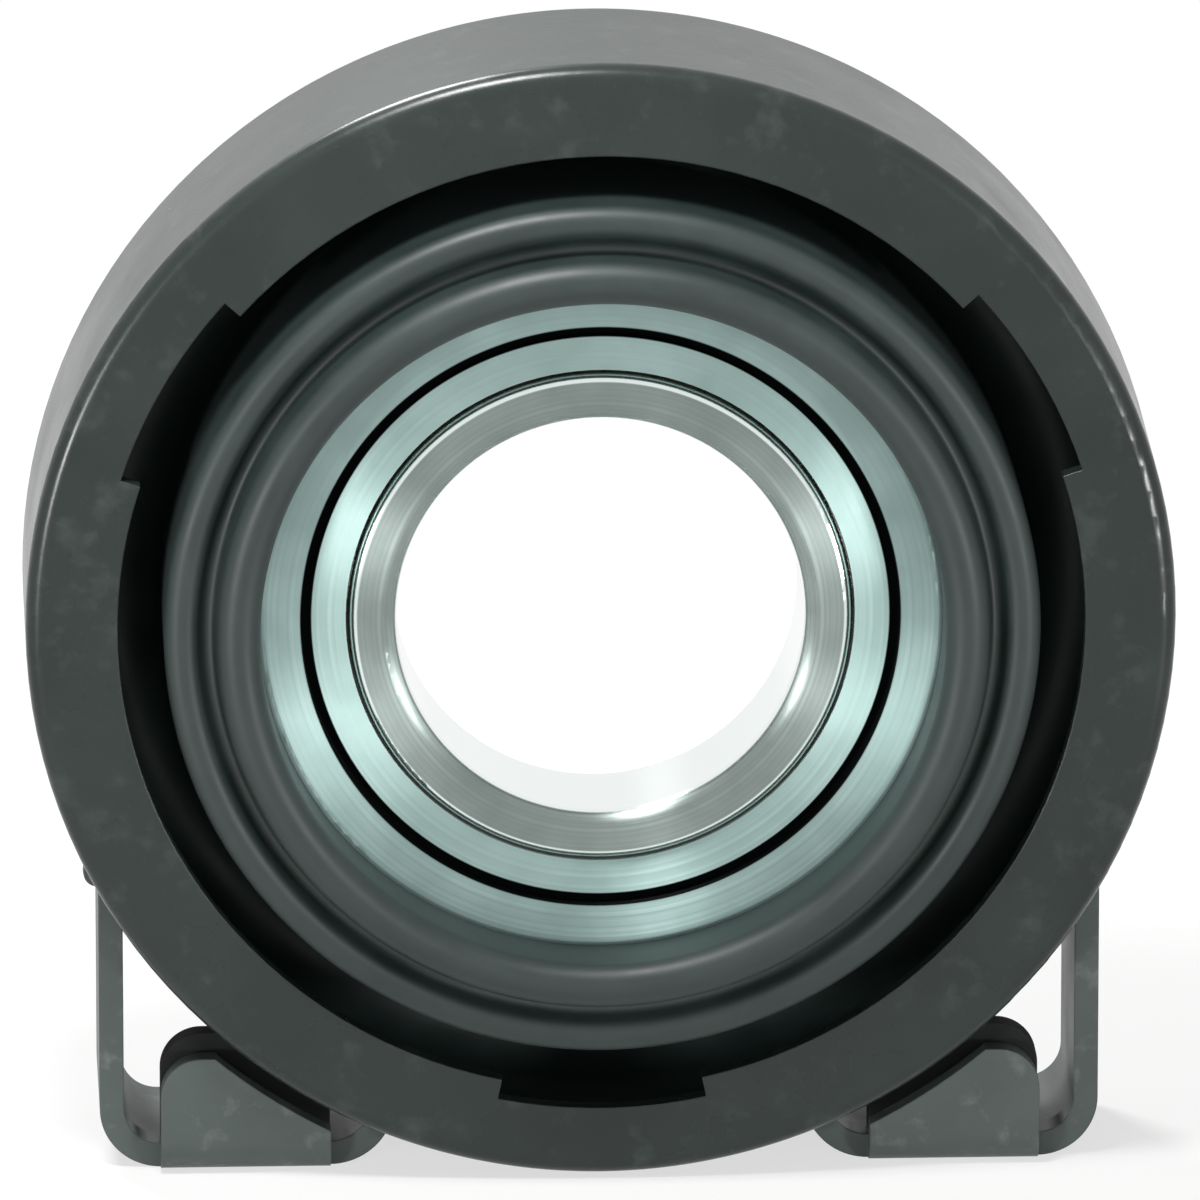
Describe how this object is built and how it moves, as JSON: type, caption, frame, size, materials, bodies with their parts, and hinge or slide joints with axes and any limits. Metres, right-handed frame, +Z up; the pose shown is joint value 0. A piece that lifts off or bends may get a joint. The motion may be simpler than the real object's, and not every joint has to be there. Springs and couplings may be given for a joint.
{
  "type": "driveshaft centre bearing",
  "caption": "Ball bearing for a two-piece driveshaft, held in a folded rubber mount inside a round pressed-steel shell with welded feet that bolt to the vehicle floor.",
  "frame": {"origin": "centre of the shaft bore, on the middle plane of the bearing", "axes": "Y along the shaft with the front face towards -Y, X across the feet, +Z up from the feet"},
  "size_m": [0.113, 0.0305, 0.1134],
  "materials": {
    "shell_paint": "satin charcoal paint over drawn steel",
    "foot_paint": "satin charcoal paint over bent sheet steel",
    "rubber": "matt moulded black rubber",
    "ring_steel": "ground bearing steel",
    "inner_ring_steel": "ground bearing steel",
    "shield_steel": "bright pressed sheet steel",
    "cage_steel": "pressed and riveted sheet steel",
    "ball_steel": "polished bearing steel"
  },
  "bodies": {
    "housing": {"outer_shell": "shell_paint", "left_foot": "foot_paint", "right_foot": "foot_paint", "rubber_mount": "rubber", "bearing_outer_ring": "ring_steel", "front_shield": "shield_steel", "rear_shield": "shield_steel"},
    "shaft_ring": {"bearing_inner_ring": "inner_ring_steel"},
    "cage": {"front_cage": "cage_steel", "rear_cage": "cage_steel", "cage_rivets": "cage_steel"},
    "ball_01": {"ball_01": "ball_steel"},
    "ball_02": {"ball_02": "ball_steel"},
    "ball_03": {"ball_03": "ball_steel"},
    "ball_04": {"ball_04": "ball_steel"},
    "ball_05": {"ball_05": "ball_steel"},
    "ball_06": {"ball_06": "ball_steel"},
    "ball_07": {"ball_07": "ball_steel"},
    "ball_08": {"ball_08": "ball_steel"},
    "ball_09": {"ball_09": "ball_steel"},
    "ball_10": {"ball_10": "ball_steel"},
    "ball_11": {"ball_11": "ball_steel"},
    "ball_12": {"ball_12": "ball_steel"}
  },
  "joints": [
    {"name": "shaft_ring_spin", "type": "hinge", "parent": "housing", "child": "shaft_ring", "pos_m": [0, 0, 0], "axis": [0, 1, 0], "continuous": true},
    {"name": "cage_spin", "type": "hinge", "parent": "housing", "child": "cage", "pos_m": [0, 0, 0], "axis": [0, 1, 0], "continuous": true},
    {"name": "ball_01_spin", "type": "hinge", "parent": "cage", "child": "ball_01", "pos_m": [0.027, 0, 0], "axis": [0, 1, 0], "continuous": true},
    {"name": "ball_02_spin", "type": "hinge", "parent": "cage", "child": "ball_02", "pos_m": [0.02338, 0, 0.0135], "axis": [0, 1, 0], "continuous": true},
    {"name": "ball_03_spin", "type": "hinge", "parent": "cage", "child": "ball_03", "pos_m": [0.0135, 0, 0.02338], "axis": [0, 1, 0], "continuous": true},
    {"name": "ball_04_spin", "type": "hinge", "parent": "cage", "child": "ball_04", "pos_m": [0, 0, 0.027], "axis": [0, 1, 0], "continuous": true},
    {"name": "ball_05_spin", "type": "hinge", "parent": "cage", "child": "ball_05", "pos_m": [-0.0135, 0, 0.02338], "axis": [0, 1, 0], "continuous": true},
    {"name": "ball_06_spin", "type": "hinge", "parent": "cage", "child": "ball_06", "pos_m": [-0.02338, 0, 0.0135], "axis": [0, 1, 0], "continuous": true},
    {"name": "ball_07_spin", "type": "hinge", "parent": "cage", "child": "ball_07", "pos_m": [-0.027, 0, 0], "axis": [0, 1, 0], "continuous": true},
    {"name": "ball_08_spin", "type": "hinge", "parent": "cage", "child": "ball_08", "pos_m": [-0.02338, 0, -0.0135], "axis": [0, 1, 0], "continuous": true},
    {"name": "ball_09_spin", "type": "hinge", "parent": "cage", "child": "ball_09", "pos_m": [-0.0135, 0, -0.02338], "axis": [0, 1, 0], "continuous": true},
    {"name": "ball_10_spin", "type": "hinge", "parent": "cage", "child": "ball_10", "pos_m": [0, 0, -0.027], "axis": [0, 1, 0], "continuous": true},
    {"name": "ball_11_spin", "type": "hinge", "parent": "cage", "child": "ball_11", "pos_m": [0.0135, 0, -0.02338], "axis": [0, 1, 0], "continuous": true},
    {"name": "ball_12_spin", "type": "hinge", "parent": "cage", "child": "ball_12", "pos_m": [0.02338, 0, -0.0135], "axis": [0, 1, 0], "continuous": true}
  ],
  "couplings": [
    {"joint": "cage_spin", "follows": "shaft_ring_spin", "ratio": 0.4265},
    {"joint": "ball_01_spin", "follows": "shaft_ring_spin", "ratio": -3.3279},
    {"joint": "ball_02_spin", "follows": "shaft_ring_spin", "ratio": -3.3279},
    {"joint": "ball_03_spin", "follows": "shaft_ring_spin", "ratio": -3.3279},
    {"joint": "ball_04_spin", "follows": "shaft_ring_spin", "ratio": -3.3279},
    {"joint": "ball_05_spin", "follows": "shaft_ring_spin", "ratio": -3.3279},
    {"joint": "ball_06_spin", "follows": "shaft_ring_spin", "ratio": -3.3279},
    {"joint": "ball_07_spin", "follows": "shaft_ring_spin", "ratio": -3.3279},
    {"joint": "ball_08_spin", "follows": "shaft_ring_spin", "ratio": -3.3279},
    {"joint": "ball_09_spin", "follows": "shaft_ring_spin", "ratio": -3.3279},
    {"joint": "ball_10_spin", "follows": "shaft_ring_spin", "ratio": -3.3279},
    {"joint": "ball_11_spin", "follows": "shaft_ring_spin", "ratio": -3.3279},
    {"joint": "ball_12_spin", "follows": "shaft_ring_spin", "ratio": -3.3279}
  ]
}
